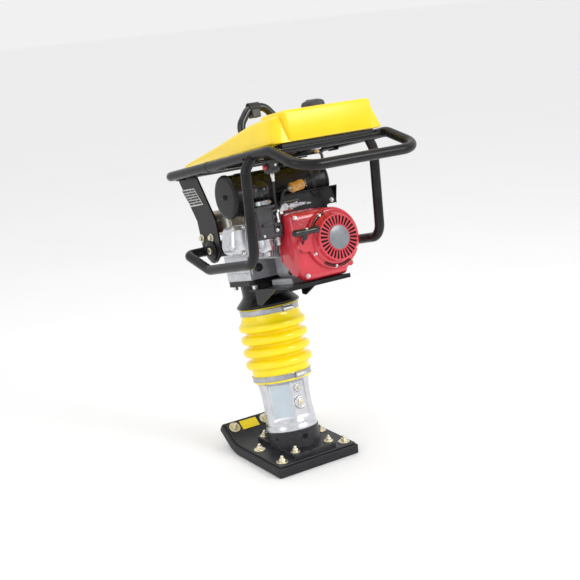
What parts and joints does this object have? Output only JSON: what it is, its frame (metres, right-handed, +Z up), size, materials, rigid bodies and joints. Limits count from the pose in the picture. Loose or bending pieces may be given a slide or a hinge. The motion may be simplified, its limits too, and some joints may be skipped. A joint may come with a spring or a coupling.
{
  "type": "jumping jack rammer",
  "caption": "Petrol tamping rammer: flat shoe on a sprung leaning leg with bellows, side engine and crankcase, tube handle frame, fuel tank and lifting hoop.",
  "frame": {"origin": "on the flat underside of the sole, where the leaning leg's axis meets the ground", "axes": "+Z up, +Y forward towards the turned-up toe, +X to the machine's right seen from the operator's place behind it; the leg leans 12 degrees towards +Y"},
  "size_m": [0.452, 0.7866, 1.0936],
  "materials": {
    "black_tube": "semi-gloss black enamel",
    "black_cast": "satin black painted casting",
    "sole_black": "black coated laminated sole",
    "plate_steel": "black painted steel with worn edges",
    "zinc": "zinc plated fasteners",
    "steel": "ground and oiled steel",
    "aluminium": "cast aluminium",
    "engine_grey": "die-cast aluminium",
    "bellows_yellow": "glossy yellow polyurethane",
    "tank_yellow": "moulded yellow plastic",
    "engine_red": "glossy red enamel",
    "black_plastic": "moulded black plastic",
    "black_rubber": "black rubber",
    "amber_plastic": "translucent amber plastic",
    "band_steel": "stainless clamp band",
    "muffler_steel": "heat-stained steel",
    "red_plastic": "red button"
  },
  "bodies": {
    "foot": {"shoe_sole": "sole_black", "shoe_plate": "plate_steel", "shoe_bolts": "zinc", "foot_adapter": "black_cast", "leg_cylinder": "aluminium", "leg_plugs": "zinc", "leg_springs": "steel", "bellows": "bellows_yellow", "clamp_lower": "band_steel"},
    "machine": {"clamp_upper": "band_steel", "guide_cylinder": "steel", "skirt_cone": "black_cast", "spring_piston": "steel", "crankcase_flange": "black_cast", "crankcase": "engine_grey", "crankcase_cover": "engine_grey", "case_bolts": "zinc", "bearings": "steel", "clutch_housing": "engine_grey", "oil_plugs": "black_plastic", "engine_bracket": "black_tube", "engine_block": "engine_grey", "cylinder_head": "engine_grey", "rocker_cover": "aluminium", "fan_cover": "engine_red", "recoil_cover": "engine_red", "carburettor": "black_plastic", "intake_elbow": "black_rubber", "air_canister": "black_plastic", "muffler": "muffler_steel", "heat_shield": "black_tube", "fuel_filter": "amber_plastic", "fuel_hose_lower": "black_rubber", "fuel_hose_upper": "black_rubber", "throttle_cable": "black_rubber", "rubber_mounts": "black_rubber"},
    "crank": {"crank_gear": "steel"},
    "conrod": {"connecting_rod": "steel"},
    "drum": {"clutch_drum": "steel"},
    "rotor": {"engine_rotor": "steel"},
    "pulley": {"starter_pulley": "black_plastic"},
    "starter": {"starter_grip": "black_rubber", "starter_rope": "black_rubber"},
    "handle": {"frame_front_loop": "black_tube", "frame_rear_loop": "black_tube", "guard_left": "black_tube", "guard_right": "black_tube", "side_plates": "black_tube", "tank_bars": "black_tube", "plate_bolts": "zinc", "fuel_tank": "tank_yellow", "lifting_hoop": "black_rubber", "fuel_tap": "black_plastic", "control_block": "black_plastic"},
    "tap_lever": {"fuel_tap_lever": "black_plastic"},
    "cap": {"fuel_cap": "black_plastic"},
    "throttle": {"throttle_lever": "black_plastic"},
    "stop": {"stop_button": "red_plastic"},
    "choke": {"choke_lever": "zinc"},
    "dipstick": {"oil_dipstick": "black_plastic"}
  },
  "joints": [
    {"name": "leg_stroke", "type": "slide", "parent": "foot", "child": "machine", "axis": [0, 0.2079, 0.9781], "range_m": [-0.022, 0.022], "stiffness_N_per_m": 60000, "springref_m": 0.0114, "deforming": ["bellows", "leg_springs"]},
    {"name": "crank_spin", "type": "hinge", "parent": "machine", "child": "crank", "pos_m": [0, 0.12724, 0.59863], "axis": [0, 0.9781, -0.2079], "continuous": true},
    {"name": "conrod_turn", "type": "hinge", "parent": "crank", "child": "conrod", "pos_m": [0.014, 0.12724, 0.59863], "axis": [0, 0.9781, -0.2079], "continuous": true},
    {"name": "drum_spin", "type": "hinge", "parent": "machine", "child": "drum", "pos_m": [0.0728, 0.13306, 0.62601], "axis": [0, 0.9781, -0.2079], "continuous": true},
    {"name": "rotor_spin", "type": "hinge", "parent": "machine", "child": "rotor", "pos_m": [0.0728, 0.13306, 0.62601], "axis": [0, 0.9781, -0.2079], "continuous": true},
    {"name": "starter_pull", "type": "slide", "parent": "machine", "child": "starter", "axis": [0, -0.4665, 0.8845], "range_m": [0, 0.09], "stiffness_N_per_m": 60, "springref_m": -0.03},
    {"name": "pulley_spin", "type": "hinge", "parent": "machine", "child": "pulley", "pos_m": [0.0728, 0.13306, 0.62601], "axis": [0, 0.9781, -0.2079], "range_deg": [0, 110]},
    {"name": "handle_rock", "type": "hinge", "parent": "machine", "child": "handle", "pos_m": [0, 0.13805, 0.64949], "axis": [1, 0, 0], "range_deg": [-1.5, 1.5], "stiffness_Nm_per_rad": 9000, "deforming": ["fuel_hose_upper", "throttle_cable"]},
    {"name": "throttle_swing", "type": "hinge", "parent": "handle", "child": "throttle", "pos_m": [-0.096, -0.1658, 0.92263], "axis": [1, 0, 0], "range_deg": [-25, 35]},
    {"name": "stop_press", "type": "slide", "parent": "handle", "child": "stop", "axis": [1, 0, 0], "range_m": [0, 0.003], "stiffness_N_per_m": 300, "springref_m": -0.001},
    {"name": "tap_turn", "type": "hinge", "parent": "handle", "child": "tap_lever", "pos_m": [-0.002, -0.23802, 0.96763], "axis": [0, 0.9781, -0.2079], "range_deg": [0, 90]},
    {"name": "cap_turn", "type": "hinge", "parent": "handle", "child": "cap", "pos_m": [0, -0.22247, 1.06963], "axis": [0, 0.2079, 0.9781], "range_deg": [0, 90]},
    {"name": "choke_turn", "type": "hinge", "parent": "machine", "child": "choke", "pos_m": [-0.088, -0.10629, 0.7505], "axis": [0, 0.9781, -0.2079], "range_deg": [0, 60]},
    {"name": "dipstick_turn", "type": "hinge", "parent": "machine", "child": "dipstick", "pos_m": [0.13, -0.08097, 0.60506], "axis": [0, 0.9781, -0.2079], "range_deg": [0, 180]}
  ],
  "couplings": [
    {"joint": "conrod_turn", "follows": "crank_spin", "ratio": -1},
    {"joint": "drum_spin", "follows": "crank_spin", "ratio": -5},
    {"joint": "pulley_spin", "follows": "starter_pull", "rad_per_m": 18.868}
  ]
}
